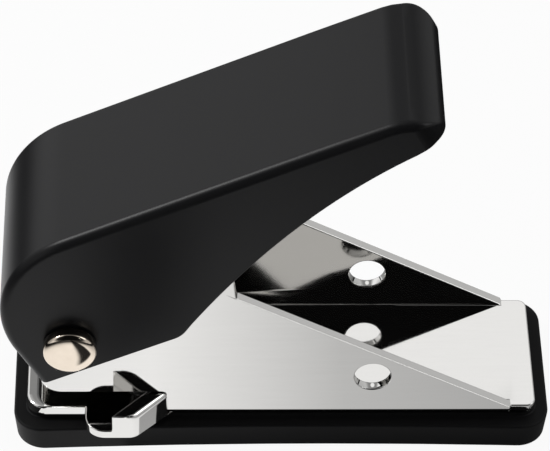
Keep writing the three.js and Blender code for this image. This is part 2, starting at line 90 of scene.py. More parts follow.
def roundedOutline(corners, steps=8):
    # corners are (x, y) or (x, y, radius)
    points = []
    for i, corner in enumerate(corners):
        spot = Vector(corner[:2])
        radius = corner[2] if len(corner) > 2 else 0
        if radius == 0:
            points.append(spot)
            continue
        toBefore = (Vector(corners[i - 1][:2]) - spot).normalized()
        toAfter = (Vector(corners[(i + 1) % len(corners)][:2]) - spot).normalized()
        halfAngle = toBefore.angle(toAfter) / 2
        centre = spot + (toBefore + toAfter).normalized() * radius / math.sin(halfAngle)
        first = spot + toBefore * radius / math.tan(halfAngle) - centre
        last = spot + toAfter * radius / math.tan(halfAngle) - centre
        sweep = math.atan2(first.x * last.y - first.y * last.x, first.dot(last))
        points += [centre + Matrix.Rotation(sweep * k / steps, 2) @ first for k in range(steps + 1)]
    return points


def rectangle(left, right, low, high, radii=(0, 0, 0, 0), steps=8):
    corners = [(left, low), (right, low), (right, high), (left, high)]
    return roundedOutline([(x, y, r) for (x, y), r in zip(corners, radii)], steps)


def arcPoints(centre, radius, start, end, steps):
    angles = [start + (end - start) * k / steps for k in range(steps + 1)]
    return [Vector((centre[0] + radius * math.cos(a), centre[1] + radius * math.sin(a))) for a in angles]


def edgeRings(radius, top, steps=6):
    # (inset, height) of the rings that round over an upper edge
    angles = [math.pi / 2 * k / steps for k in range(steps + 1)]
    return [(radius * (1 - math.cos(a)), top - radius * (1 - math.sin(a))) for a in angles]


def meshObject(name, bm):
    bmesh.ops.recalc_face_normals(bm, faces=bm.faces)
    mesh = bpy.data.meshes.new(name)
    bm.to_mesh(mesh)
    bm.free()
    obj = bpy.data.objects.new(name, mesh)
    bpy.context.scene.collection.objects.link(obj)
    return obj


def lofted(name, rings):
    # closed solid through rings of the same number of points
    bm = bmesh.new()
    loops = [[bm.verts.new(point) for point in ring] for ring in rings]
    for lower, upper in zip(loops, loops[1:]):
        for i in range(len(lower)):
            j = (i + 1) % len(lower)
            bm.faces.new((lower[i], lower[j], upper[j], upper[i]))
    bm.faces.new(loops[0])
    bm.faces.new(loops[-1])
    return meshObject(name, bm)


def prism(outline, low, high, facing="up"):
    # facing up keeps (x, y), across takes (x, z) and runs along Y, along takes (y, z) and runs along X
    order = {"up": (0, 1, 2), "across": (0, 2, 1), "along": (2, 0, 1)}[facing]
    bm = bmesh.new()
    rings = []
    for level in (low, high):
        spots = [(point[0], point[1], level) for point in outline]
        rings.append([bm.verts.new([spot[axis] for axis in order]) for spot in spots])
        bm.faces.new(rings[-1])
    for i in range(len(outline)):
        j = (i + 1) % len(outline)
        bm.faces.new((rings[0][i], rings[0][j], rings[1][j], rings[1][i]))
    return meshObject("solid", bm)


def block(x, y, z):
    return prism(rectangle(*x, *y), *z)


def turned(profile, steps=64, axis="Z", spot=(0, 0, 0)):
    # profile is a closed loop of (radius, height); about Y, height runs towards the near side
    bm = bmesh.new()
    rings = []
    for k in range(steps):
        angle = 2 * math.pi * k / steps
        rings.append([bm.verts.new((r * math.cos(angle), r * math.sin(angle), z)) for r, z in profile])
    for k in range(steps):
        here, after = rings[k], rings[(k + 1) % steps]
        for i in range(len(profile)):
            j = (i + 1) % len(profile)
            if profile[i][0] > 0 or profile[j][0] > 0:
                bm.faces.new((here[i], after[i], after[j], here[j]))
    bmesh.ops.remove_doubles(bm, verts=bm.verts, dist=meshing["axisMerge"])
    turn = Matrix.Rotation(math.radians(90), 4, "X") if axis == "Y" else Matrix.Identity(4)
    bm.transform(Matrix.Translation(spot) @ turn)
    return meshObject("solid", bm)


def combine(base, tool, operation):
    modifier = base.modifiers.new("cut", "BOOLEAN")
    modifier.operation = operation
    modifier.solver = "EXACT"
    modifier.object = tool
    shown = base.evaluated_get(bpy.context.evaluated_depsgraph_get())
    mesh = bpy.data.meshes.new_from_object(shown)
    base.modifiers.clear()
    base.data = mesh
    bpy.data.objects.remove(tool)
    return base


def crossHole(radius, halfWidth, x, z, steps=48):
    outline = arcPoints((x, z), radius, 0, 2 * math.pi * (1 - 1 / steps), steps - 1)
    return prism(outline, -halfWidth, halfWidth, "across")


def finishPiece(obj, name, material, body, node,
                soft=0, segments=3, angle=32, move=Matrix.Identity(4)):
    # one clean mesh in metres, soft edges, its finish, and the body that it moves with
    bm = bmesh.new()
    bm.from_mesh(obj.data)
    bmesh.ops.remove_doubles(bm, verts=bm.verts, dist=meshing["mergeWithin"])
    bmesh.ops.dissolve_limit(bm, angle_limit=meshing["flatWithin"], verts=bm.verts, edges=bm.edges)
    bm.transform(Matrix.Scale(mm, 4) @ move)
    bmesh.ops.recalc_face_normals(bm, faces=bm.faces)
    for face in bm.faces:
        face.smooth = True
    bm.to_mesh(obj.data)
    bm.free()
    obj.name = name
    obj.data.name = name
    if soft:
        soften = obj.modifiers.new("soften", "BEVEL")
        soften.limit_method = "ANGLE"
        soften.angle_limit = math.radians(angle)
        soften.width = soft * mm
        soften.segments = segments
        soften.use_clamp_overlap = False
        soften.miter_outer = "MITER_ARC"
    obj.modifiers.new("even", "WEIGHTED_NORMAL").weight = meshing["normalWeight"]
    obj.data.materials.clear()
    obj.data.materials.append(material)
    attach(obj, body)
    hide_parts(node)
    return obj


# finishes; sizes and depths in millimetres

def closeMaterial(tree, values, tint, gloss, relief, inputs):
    # colour and roughness each follow a pattern between two values; relief is the last bump
    tone = addNode(tree, "ShaderNodeMix", {
        "Factor": tint, "A": linearColour(values["colours"][0]), "B": linearColour(values["colours"][1]),
    }, data_type="RGBA")
    rough = addNode(tree, "ShaderNodeMapRange", {
        "Value": gloss, "To Min": values["roughness"][0], "To Max": values["roughness"][1],
    })
    shader = addNode(tree, "ShaderNodeBsdfPrincipled", {
        "Base Color": tone.outputs["Result"], "Roughness": rough.outputs[0],
        "Normal": relief.outputs[0], **inputs,
    })
    addNode(tree, "ShaderNodeOutputMaterial", {"Surface": shader.outputs[0]})


def platedMaterial(name, values):
    # plated sheet: mirror-like, with the slight wave of the press underneath
    material, tree, coords = newMaterial(name)
    wave = addNode(tree, "ShaderNodeTexNoise", {
        "Vector": coords, "Scale": perMillimetre(values["waveSize"]), "Detail": 1.0,
    })
    stretch = addNode(tree, "ShaderNodeMapping", {
        "Vector": coords, "Scale": (values["streakStretch"], 1.0, 1.0),
    })
    streak = addNode(tree, "ShaderNodeTexNoise", {
        "Vector": stretch.outputs[0], "Scale": perMillimetre(values["streakSize"]), "Detail": 3.0,
    })
    haze = addNode(tree, "ShaderNodeTexNoise", {
        "Vector": coords, "Scale": perMillimetre(values["hazeSize"]), "Detail": 4.0,
    })
    bump = addNode(tree, "ShaderNodeBump", {
        "Strength": 1.0, "Distance": values["waveDepth"] * mm, "Height": wave.outputs[0],
    })
    fine = addNode(tree, "ShaderNodeBump", {
        "Strength": 1.0, "Distance": values["streakDepth"] * mm,
        "Height": streak.outputs[0], "Normal": bump.outputs[0],
    })
    closeMaterial(tree, values, streak.outputs[0], haze.outputs[0], fine, {"Metallic": 1.0})
    return material


def grainMaterial(name, values):
    # coat, rubber or plastic: a fine grain breaks up the sheen, and the tone varies a little
    material, tree, coords = newMaterial(name)
    grain = addNode(tree, "ShaderNodeTexNoise", {
        "Vector": coords, "Scale": perMillimetre(values["grainSize"]), "Detail": 3.0, "Roughness": 0.6,
    })
    cloud = addNode(tree, "ShaderNodeTexNoise", {
        "Vector": coords, "Scale": perMillimetre(values["cloudSize"]), "Detail": 4.0,
    })
    bump = addNode(tree, "ShaderNodeBump", {
        "Strength": 1.0, "Distance": values["grainDepth"] * mm, "Height": grain.outputs[0],
    })
    closeMaterial(tree, values, cloud.outputs[0], cloud.outputs[0], bump, {
        "Metallic": 0.0, "IOR": values["ior"], "Specular IOR Level": values["sheen"],
    })
    return material


def turnedMetal(name, values):
    # turned or drawn metal: fine uneven marks in tone, gloss and height
    material, tree, coords = newMaterial(name)
    mark = addNode(tree, "ShaderNodeTexNoise", {
        "Vector": coords, "Scale": perMillimetre(values["markSize"]), "Detail": 3.0,
    })
    bump = addNode(tree, "ShaderNodeBump", {
        "Strength": 1.0, "Distance": values["markDepth"] * mm, "Height": mark.outputs[0],
    })
    closeMaterial(tree, values, mark.outputs[0], mark.outputs[0], bump, {"Metallic": 1.0})
    return material


# nickel-chrome plate on pressed steel: cool white, as bright as a mirror, with faint lengthwise streaks
chromePlate = platedMaterial("brightChromePlate", {
    "colours": ("dad9d7", "d6d5d3"), "roughness": (0.03, 0.07),
    "waveSize": 14, "waveDepth": 0.012,
    "streakSize": 0.6, "streakDepth": 0.0003, "streakStretch": 0.08,
    "hazeSize": 5,
})
# sprayed and baked: near black, with a soft gleam along the rounded edges
blackCoat = grainMaterial("satinPowderCoat", {
    "colours": ("18181a", "1a1a1b"), "roughness": (0.3, 0.36),
    "grainSize": 0.35, "grainDepth": 0.003, "cloudSize": 9, "ior": 1.45, "sheen": 0.22,
})
# moulded: duller and a shade darker than the lever
blackRubber = grainMaterial("mouldedSoftRubber", {
    "colours": ("111112", "151516"), "roughness": (0.5, 0.6),
    "grainSize": 0.3, "grainDepth": 0.006, "cloudSize": 6, "ior": 1.45, "sheen": 0.18,
})
# moulded without colour: milky and waxy
whiteNylon = grainMaterial("naturalNylon", {
    "colours": ("dedbd2", "e6e4dc"), "roughness": (0.45, 0.55),
    "grainSize": 0.4, "grainDepth": 0.003, "cloudSize": 3, "ior": 1.53, "sheen": 0.5,
})
# turned and polished: bright, and warmer than the chrome
warmNickel = turnedMetal("polishedNickel", {
    "colours": ("e6dacb", "dccfbf"), "roughness": (0.06, 0.12), "markSize": 1.5, "markDepth": 0.002,
})
# hardened and ground: gray, with the fine marks of the wheel
groundSteel = turnedMetal("groundToolSteel", {
    "colours": ("a9aaac", "8e8f92"), "roughness": (0.22, 0.34), "markSize": 0.4, "markDepth": 0.002,
})
# dull zinc: pale bluish gray, a little cloudy
zincSteel = turnedMetal("zincPlatedSteel", {
    "colours": ("bfc2c6", "a6abb1"), "roughness": (0.28, 0.4), "markSize": 0.8, "markDepth": 0.002,
})
# drawn through a die: smooth gray
springWire = turnedMetal("drawnSpringWire", {
    "colours": ("b4b6b9", "96989c"), "roughness": (0.2, 0.3), "markSize": 0.3, "markDepth": 0.001,
})
print("finishes ready")


# sizes that more than one piece needs, as in the CAD
common = {
    "plateFront": -39.2, "plateBottom": 5.1, "plateTop": 6.65,
    "halfFrame": 11.75, "wall": 1.55,
    "jawBottom": 10.2, "jawFloor": 12.2,
    "pivotX": -32.0, "pivotZ": 22.7, "shank": 2.0, "tilt": math.radians(26.3),
    "punchX": -20.621, "drivePinZ": 28.017,
    "seatGap": 0.3, "overrun": 1.0,
}
halfChannel = common["halfFrame"] - common["wall"]
pivotSpot = (common["pivotX"], 0, common["pivotZ"])
leverPlace = Matrix.Translation(pivotSpot) @ Matrix.Rotation(-common["tilt"], 4, "Y")


# chip tray
tray = {
    "length": 82.2, "throatWidth": 28.4, "waistWidth": 26.4, "tipWidth": 27.6, "cornerRadius": 4.4,
    "rimHeight": 4.2, "rimSoftness": 0.4, "footSoftness": 0.12, "endDraft": 0.4,
    "plinthInset": 2.1, "plinthWidth": 22.5, "plinthCornerRadius": 2.4, "plinthTop": 4.8,
    "wall": 1.6, "floor": 1.4, "edgeSoftness": 0.3, "sideSteps": 12,
}


def trayOutline(inset, endInset):
    # the long sides draw in toward the middle; both insets shrink the plan
    halfLength = tray["length"] / 2 - inset - endInset
    ends = (tray["throatWidth"] + tray["tipWidth"]) / 4
    lean = (tray["tipWidth"] - tray["throatWidth"]) / 4
    waist = tray["waistWidth"] / 2
    steps = tray["sideSteps"]
    corners = []
    for k in range(-steps, steps + 1):
        if abs(k) == steps - 1:
            continue  # the round corner needs the room
        share = k / steps
        halfWidth = waist + lean * share + (ends - waist) * share ** 2 - inset
        radius = tray["cornerRadius"] - inset if abs(k) == steps else 0
        corners.append((halfLength * share, -halfWidth, radius))
    return roundedOutline(corners + [(x, -y, radius) for x, y, radius in reversed(corners)], 14)


def traySlab(inset, high):
    x = tray["length"] / 2 - tray["plinthInset"] - inset
    y = tray["plinthWidth"] / 2 - inset
    return prism(rectangle(-x, x, -y, y, [tray["plinthCornerRadius"]] * 4, 14), tray["floor"], high)


def buildTray():
    # rings up the outside: soft foot, drafted ends, soft rim
    foot = tray["footSoftness"]
    angles = [math.pi / 2 * k / 3 for k in range(4)]
    levels = [(foot * (1 - math.sin(a)), foot * (1 - math.cos(a))) for a in angles]
    levels += edgeRings(tray["rimSoftness"], tray["rimHeight"])
    rings = []
    for inset, height in levels:
        draft = tray["endDraft"] * (1 - height / tray["rimHeight"])
        rings.append([(p.x, p.y, height) for p in trayOutline(inset, draft)])
    whole = lofted("tray", rings)
    combine(whole, traySlab(0, tray["plinthTop"]), "UNION")
    combine(whole, traySlab(tray["wall"], tray["plinthTop"] + common["overrun"]), "DIFFERENCE")
    finishPiece(whole, "chipTray", blackRubber, "tray", "chip_tray",
                soft=tray["edgeSoftness"], angle=60)


buildTray()
print("chip tray built")


# plated frame: plate, walls, jaw and flight guide
shell = {
    "length": 78.1, "frontRadius": 3.0, "rearRadius": 1.4, "tabInset": 0.45,
    "frontCrown": [(0, 0, 1.55), (0.24, 0.24, 0.4), (0.32, 0.31, 0.24), (1.4, 0.34, 0.07), (2.0, 0.36, 0)],
    "crownEnd": 0.5, "footRadius": 1.3,
    "foldRadius": 0.25, "foldRoot": 0.05, "foldStart": 0.5, "foldTaper": 3.0, "foldTipShare": 0.05,
    "slopeAngle": math.radians(29.46), "slopeFoot": 35.0,
    "wallBack": -7.3, "wallLean": 0.6, "wallTop": 36.5,
    "cornerRadius": 0.8, "topCornerRadius": 1.6,
    "throatEnd": -17.7, "throatEndRadius": 0.7,
    "nose": -37.0, "noseRadius": 3.5, "noseWebTop": 19.0, "backWebTop": 24.0,
    "arcBehindPivot": 8.25, "arcAbovePivot": 2.4,
    "holeRadius": 2.8, "holeX": 13.6, "holeZ": 13.55,
    "rivetHole": 2.3, "bushHole": 2.9, "dieHole": 3.3, "boreSteps": 40,
    "railLength": 58.0, "railThickness": 1.2, "railDepth": 2.2, "railRoot": 0.2,
    "edgeSoftness": 0.2,
}
guide = {
    "reach": 4.81, "front": -30.0, "cornerRadius": 3.0,
    "tip": -9.4, "thickness": 2.5, "topGap": 0.3, "outerRadius": 2.4, "crownRadius": 1.0,
}


def wallOutline():
    arcCentre = (common["pivotX"] + shell["arcBehindPivot"], common["pivotZ"] + shell["arcAbovePivot"])
    radius = arcCentre[0] - shell["nose"]
    topAngle = math.pi - math.asin((shell["wallTop"] - arcCentre[1]) / radius)
    slopeTop = common["plateTop"] + (shell["slopeFoot"] - shell["wallBack"]) * math.tan(shell["slopeAngle"])
    topEnd = arcCentre[0] + radius * math.cos(topAngle)
    upper = roundedOutline([
        (shell["throatEnd"], common["plateBottom"]),
        (shell["slopeFoot"], common["plateBottom"]),
        (shell["slopeFoot"], common["plateTop"]),
        (shell["wallBack"], slopeTop, shell["cornerRadius"]),
        (shell["wallBack"] - shell["wallLean"], shell["wallTop"], shell["topCornerRadius"]),
        (topEnd, shell["wallTop"]),
    ])[:-1]
    throat = roundedOutline([
        (shell["nose"], common["jawBottom"]),
        (shell["throatEnd"], common["jawBottom"], shell["throatEndRadius"]),
        (shell["throatEnd"], common["plateBottom"]),
    ])[1:-1]
    arc = arcPoints(arcCentre, radius, topAngle, math.pi, 30)
    return upper + arc + [Vector((shell["nose"], common["jawBottom"]))] + throat


def buildSides():
    # both walls as one slab with the side view of a wall
    return prism(wallOutline(), -common["halfFrame"], common["halfFrame"], "across")


def guideEdges():
    # how far out the guide reaches, and where the arm's outer face would meet the middle
    return common["halfFrame"] + guide["reach"], guide["tip"] + guide["thickness"] * math.sqrt(2)


def buildTongue(sign):
    outer, outerTip = guideEdges()
    outline = roundedOutline([
        (guide["front"], -halfChannel),
        (guide["front"], -outer, guide["cornerRadius"]),
        (outerTip - outer, -outer, guide["outerRadius"]),
        (shell["throatEnd"], shell["throatEnd"] - outerTip),
        (shell["throatEnd"], -halfChannel),
    ], 12)
    return prism([Vector((p.x, -p.y * sign)) for p in outline], common["plateBottom"], common["plateTop"])


def buildArm(sign):
    # guide arm, square inside and rounded over along its outer edge
    outer, outerTip = guideEdges()
    rings = []
    top = common["jawBottom"] - guide["topGap"]
    for inset, height in [(0, common["plateBottom"])] + edgeRings(guide["crownRadius"], top):
        slide = inset * math.sqrt(2)
        outline = roundedOutline([
            (guide["tip"], 0),
            (guide["tip"] - outer, -outer),
            (outerTip - outer - slide, -outer, guide["outerRadius"]),
            (outerTip - slide, 0),
        ], 12)
        rings.append([(p.x, -p.y * sign, height) for p in outline])
    return lofted("arm", rings)


def buildPlate():
    # the crown lists how far in from the front and from the sides each ring lies, and how far down
    half = common["halfFrame"]
    end = common["plateFront"] + shell["length"]
    tab = half - shell["tabInset"]
    rings = []
    for forward, aside, down in shell["frontCrown"]:
        nearSide = [
            (common["plateFront"] + forward, aside - half, shell["frontRadius"]),
            (shell["throatEnd"], aside - half), (shell["throatEnd"] + shell["crownEnd"], -half),
            (shell["slopeFoot"], -half), (shell["slopeFoot"], -tab), (end, -tab, shell["rearRadius"]),
        ]
        farSide = [(corner[0], -corner[1], *corner[2:]) for corner in reversed(nearSide)]
        outline = roundedOutline(nearSide + farSide, 12)
        rings.append([(p.x, p.y, common["plateTop"] - down) for p in outline])
    return lofted("plate", rings)


def buildFold(sign, start, end):
    # inside radius between plate and wall, which tapers into the corner at its front end
    fold, deep = shell["foldRadius"], shell["foldRoot"]  # the root reaches into plate and wall
    outline = arcPoints((-fold, fold), fold, -math.pi / 2, 0, 8)
    outline += [Vector((deep, fold)), Vector((deep, -deep)), Vector((-fold, -deep))]
    rings = []
    for x, size in [(start - shell["foldTaper"], shell["foldTipShare"]), (start, 1), (end, 1)]:
        points = [(deep + (p.x - deep) * size, (p.y + deep) * size - deep) for p in outline]
        rings.append([(x, sign * (halfChannel + y), common["plateTop"] + z) for y, z in points])
    return combine(lofted("fold", rings), buildSides(), "INTERSECT")


def footCut(sign, end):
    # what the outside radius of the fold takes off below the wall
    past, bottom = common["overrun"], common["plateBottom"]
    centre = (common["halfFrame"] - shell["footRadius"], bottom + shell["footRadius"])
    side = common["halfFrame"] + past
    outline = arcPoints(centre, shell["footRadius"], -math.pi / 2, 0, 12)
    low = bottom - past
    outline += [Vector((side, centre[1])), Vector((side, low)), Vector((centre[0], low))]
    return prism([Vector((p.x * sign, p.y)) for p in outline], shell["throatEnd"], end, "along")


def buildRail(sign):
    # rail below the plate that centres the frame in the tray
    outside = tray["plinthWidth"] / 2 - tray["wall"] - common["seatGap"]
    centreX = common["plateFront"] + shell["length"] / 2
    x = [centreX - shell["railLength"] / 2, centreX + shell["railLength"] / 2]
    y = sorted([sign * outside, sign * (outside - shell["railThickness"])])
    bottom = common["plateBottom"]
    return block(x, y, [bottom - shell["railDepth"], bottom + shell["railRoot"]])


def frameCuts(webRear, end, high):
    # what is taken off plate and walls; webRear is where the jaw's back web ends
    half, past = common["halfFrame"], common["overrun"]
    top, bottom = common["plateTop"], common["plateBottom"]
    nose, webFront = shell["nose"], webRear - common["wall"]
    inner = shell["noseRadius"] - common["wall"]
    pocket = rectangle(nose + common["wall"], webFront, -halfChannel, halfChannel, [inner, 0, 0, inner], 10)
    middle = [-halfChannel, halfChannel]
    cuts = [
        prism(pocket, common["jawFloor"], high),
        block([nose - past, nose + shell["noseRadius"]], middle, [shell["noseWebTop"], high]),
        block([webFront - past, shell["wallBack"]], middle, [shell["backWebTop"], high]),
        block([webRear, end], middle, [top, high]),
        block([shell["throatEnd"] - past, shell["wallBack"]], middle, [top, common["jawBottom"]]),
        crossHole(shell["holeRadius"], half + past, shell["holeX"], shell["holeZ"]),
        crossHole(shell["rivetHole"], half + past, common["pivotX"], common["pivotZ"]),
    ]
    steps = shell["boreSteps"]
    jaw = (common["jawBottom"], common["jawFloor"])
    for radius, low, upper in [(shell["bushHole"], *jaw), (shell["dieHole"], bottom, top)]:
        circle = arcPoints((common["punchX"], 0), radius, 0, 2 * math.pi * (1 - 1 / steps), steps - 1)
        cuts.append(prism(circle, low - past, upper + past))
    return cuts + [footCut(sign, end) for sign in (-1, 1)]


def buildFrame():
    half = common["halfFrame"]
    plateEnd = common["plateFront"] + shell["length"]
    past = plateEnd + common["overrun"]
    high = shell["wallTop"] + common["overrun"]
    webRear = shell["wallBack"] - shell["wallLean"]
    whole = buildPlate()
    walls = buildSides()
    nose = shell["noseRadius"]
    nosePlan = rectangle(shell["nose"], past, -half, half, [nose, 0, 0, nose], 14)
    combine(walls, prism(nosePlan, 0, high), "INTERSECT")
    combine(whole, walls, "UNION")
    for cut in frameCuts(webRear, past, high):
        combine(whole, cut, "DIFFERENCE")
    for sign in (-1, 1):
        combine(whole, buildFold(sign, webRear - shell["foldStart"], plateEnd), "UNION")
        combine(whole, buildTongue(sign), "UNION")
        combine(whole, buildArm(sign), "UNION")
        combine(whole, buildRail(sign), "UNION")
    finishPiece(whole, "platedFrame", chromePlate, "frame", "frame",
                soft=shell["edgeSoftness"], segments=4)


buildFrame()
print("frame built")


# lever: one drawn sheet, rounded along its whole upper edge; x and z run from the pivot, lever level
lever = {
    "halfWidth": 13.6, "wall": 1.0, "back": -8.35, "top": 19.0, "tip": 66.9,
    "backRadius": 16.6, "edgeRadius": 1.4, "ridgeRadius": 1.2, "leastRidge": 0.3,
    "tipRadius": 6.6, "tipDrop": 5.2, "tipCornerRadius": 3.6, "droop": 0.26, "droopFrom": 42.0,
    "backSlant": 0.036, "earDrop": -6.0, "earLength": 15.6, "earRadius": 4.0, "backEdge": -2.91,
    "sweep": [(18.2, -4.3), (41.2, 9.7), (62.0, 12.4)], "lip": (65.4, 13.1),
    "stripWidth": 3.3, "rimSoftness": 0.25,
    "sweepSteps": 24, "backSteps": 40, "topSteps": 14, "cornerSteps": 20, "tipShares": (0.66, 0.33),
}


def leverLowEdge():
    ear = roundedOutline([
        (lever["back"] - common["overrun"], lever["earDrop"]),
        (lever["earLength"], lever["earDrop"], lever["earRadius"]),
        lever["sweep"][0],
    ], 12)[1:-1]
    a, b, c = [Vector(p) for p in lever["sweep"]]
    shares = [k / lever["sweepSteps"] for k in range(lever["sweepSteps"] + 1)]
    curve = [a * (1 - t) ** 2 + b * 2 * t * (1 - t) + c * t * t for t in shares]
    return ear + curve + [Vector(lever["lip"])]


def heightOn(curve, x):
    for here, after in zip(curve, curve[1:]):
        if here.x <= x <= after.x:
            return here.y + (after.y - here.y) * (x - here.x) / (after.x - here.x)
    return curve[-1].y


def topHeight(x, inset):
    # level, then a slight droop and the large, flattened round of the tip
    share = max(0, (x - lever["droopFrom"]) / (lever["tip"] - lever["droopFrom"]))
    past = max(0, x - (lever["tip"] - lever["tipRadius"])) / (lever["tipRadius"] - inset)
    fall = (lever["tipDrop"] - inset) * (1 - math.sqrt(max(0, 1 - past ** 2)))
    return lever["top"] - inset - lever["droop"] * share ** 2 - fall


def roundedSection(height, radius, reach, arcSteps=8, flatSteps=7, sampleSteps=240):
    # section square to the edge as (inward, up): the surface, then an arc that ends upright at the side
    ways = [reach * (i / sampleSteps) ** 2 for i in range(sampleSteps + 1)]
    samples = [(d, height(d)) for d in ways]
    low, high = height(0) - 3 * radius, height(radius)
    for _ in range(40):  # halve the range until the arc just touches the surface
        middle = (low + high) / 2
        nearest = min(math.hypot(d - radius, h - middle) for d, h in samples)
        low, high = (middle, high) if nearest > radius else (low, middle)
    touch = min(samples, key=lambda s: math.hypot(s[0] - radius, s[1] - low))
    flat = [touch[0] + (reach - touch[0]) * (1 - j / flatSteps) ** 2 for j in range(flatSteps)]
    first = math.atan2(touch[1] - low, touch[0] - radius)
    angles = [first + (math.pi - first) * k / arcSteps for k in range(arcSteps + 1)]
    arc = [(radius + radius * math.cos(a), low + radius * math.sin(a)) for a in angles]
    return [(d, height(d)) for d in flat] + arc


def leverStations(inset):
    # round the near half, then mirrored: where the edge stands, its way in, its way up and its section
    half, reach = lever["halfWidth"] - inset, lever["stripWidth"] - inset
    edge, ridge = lever["edgeRadius"] - inset, max(lever["ridgeRadius"] - inset, lever["leastRidge"])
    up, inward = Vector((0, 0, 1)), Vector((0, 1, 0))
    bend = lever["backRadius"] - inset
    centre = Vector((lever["back"] + lever["backRadius"], 0, lever["top"] - lever["backRadius"]))
    flat = roundedSection(lambda d: 0, edge, reach)
    stations = []
    for z in (lever["earDrop"], lever["backEdge"], (lever["backEdge"] + centre.z) / 2):
        x = lever["back"] + inset + lever["backSlant"] * (centre.z - z)
        stations.append((Vector((x, -half, z)), inward, Vector((-1, 0, 0)), flat))
    for k in range(lever["backSteps"] + 1):
        angle = math.pi - math.pi / 2 * k / lever["backSteps"]
        normal = Vector((math.cos(angle), 0, math.sin(angle)))
        stations.append((centre + normal * bend + Vector((0, -half, 0)), inward, normal, flat))
    cornerX = lever["tip"] - lever["tipCornerRadius"]
    roundX = lever["tip"] - lever["tipRadius"]
    steps = lever["topSteps"]
    along = [centre.x + (roundX - centre.x) * k / steps for k in range(1, steps + 1)]
    for x in along + [(roundX + cornerX) / 2]:
        section = roundedSection(lambda d: topHeight(x, inset), edge, reach)
        stations.append((Vector((x, -half, 0)), inward, up, section))
    corner = lever["tipCornerRadius"] - inset
    cornerY = -half + corner
    for k in range(lever["cornerSteps"] + 1):
        share = k / lever["cornerSteps"]
        angle = math.pi / 2 * (share - 1)
        out = Vector((math.cos(angle), math.sin(angle), 0))
        spot = Vector((cornerX, cornerY, 0)) + out * corner
        radius = edge + (ridge - edge) * min(1, 3 * share)  # the tip's own from a third of the way
        section = roundedSection(lambda d: topHeight(spot.x - out.x * d, inset), radius, reach)
        stations.append((spot, -out, up, section))
    tipX, back = lever["tip"] - inset, Vector((-1, 0, 0))
    stations += [(Vector((tipX, cornerY * share, 0)), back, up, section) for share in lever["tipShares"]]
    middle = (Vector((tipX, 0, 0)), back, up, section)
    flip = Vector((1, -1, 1))
    return stations + [middle] + [(p * flip, i * flip, u * flip, s) for p, i, u, s in reversed(stations)]


def leverSkin(bm, inset, low):
    # one face of the sheet; gives back the vertices round its free edge
    cornerX = lever["tip"] - lever["tipCornerRadius"]
    half = lever["halfWidth"] - inset
    strip = [[bm.verts.new(spot + inward * d + up * h) for d, h in section]
             for spot, inward, up, section in leverStations(inset)]
    for here, after in zip(strip, strip[1:]):
        for k in range(len(here) - 1):
            bm.faces.new((here[k], after[k], after[k + 1], here[k + 1]))
    last = len(strip) - 1
    cornerEnd = last // 2 - 3
    cornerStart = cornerEnd - lever["cornerSteps"]
    # back and top in rows from side to side, then one row that takes in the stations of the tip
    for i in range(1, cornerEnd - 1):
        bm.faces.new((strip[i][0], strip[i + 1][0], strip[last - i - 1][0], strip[last - i][0]))
    bm.faces.new([strip[i][0] for i in range(cornerEnd - 1, last - cornerEnd + 2)])
    # sides down to the trimmed edge
    feet = {}
    for first, sign in ((0, -1), (last, 1)):
        upper = [strip[abs(first - i)][-1] for i in range(cornerStart + 1)]
        spots = [(p.x, p.y) for p in low if p.x < cornerX] + [(cornerX, heightOn(low, cornerX))]
        feet[sign] = [bm.verts.new((x, sign * half, z)) for x, z in spots]
        bm.faces.new(upper + list(reversed(feet[sign])))
    tipFeet = [feet[-1][-1]]
    for i in range(cornerStart, last - cornerStart):
        after = strip[i + 1][-1]
        if i + 1 == last - cornerStart:
            foot = feet[1][-1]
        else:
            foot = bm.verts.new((after.co.x, after.co.y, heightOn(low, after.co.x)))
        bm.faces.new((strip[i][-1], after, foot, tipFeet[-1]))
        tipFeet.append(foot)
    front = feet[-1][:-1] + tipFeet + feet[1][-2::-1]
    return [strip[1][0]] + strip[0] + front + strip[last][::-1] + [strip[last - 1][0]]


def buildLever():
    low = leverLowEdge()
    bm = bmesh.new()
    outside = leverSkin(bm, 0, low)
    inside = leverSkin(bm, lever["wall"], low)
    for i in range(len(outside)):
        bm.faces.new((outside[i - 1], outside[i], inside[i], inside[i - 1]))
    bmesh.ops.remove_doubles(bm, verts=bm.verts, dist=meshing["skinMerge"])
    bmesh.ops.dissolve_degenerate(bm, edges=bm.edges, dist=meshing["skinLeast"])
    obj = meshObject("lever", bm)
    bore = common["seatGap"] + common["shank"]
    combine(obj, crossHole(bore, lever["halfWidth"] + common["overrun"], 0, 0), "DIFFERENCE")
    finishPiece(obj, "leverShell", blackCoat, "lever", "lever_shell",
                soft=lever["rimSoftness"], angle=60, move=leverPlace)


buildLever()
print("lever built")


# pivot: rivet, cap, sleeve and washers
pivot = {
    "headRadius": 4.0, "headHeight": 2.4, "headSide": 1.2, "headFullness": 0.72, "headChamfer": 0.12,
    "capSocket": 0.9, "sleeveWall": 0.7, "sleeveSoftness": 0.12,
    "washerRadius": 4.5, "washerThickness": 0.35, "washerSoftness": 0.06,
}


def headProfile(seat, sign, steps=24):
    # chamfer, straight side, full shoulder, low crown; sign gives the way that it points
    radius, chamfer = pivot["headRadius"], pivot["headChamfer"]
    points = [(radius - chamfer, sign * seat), (radius, sign * (seat + chamfer))]
    for k in range(steps + 1):
        angle = math.pi / 2 * k / steps
        across = radius * math.cos(angle) ** pivot["headFullness"] if k < steps else 0
        rise = (pivot["headHeight"] - pivot["headSide"]) * math.sin(angle) ** pivot["headFullness"]
        points.append((across, sign * (seat + pivot["headSide"] + rise)))
    return points


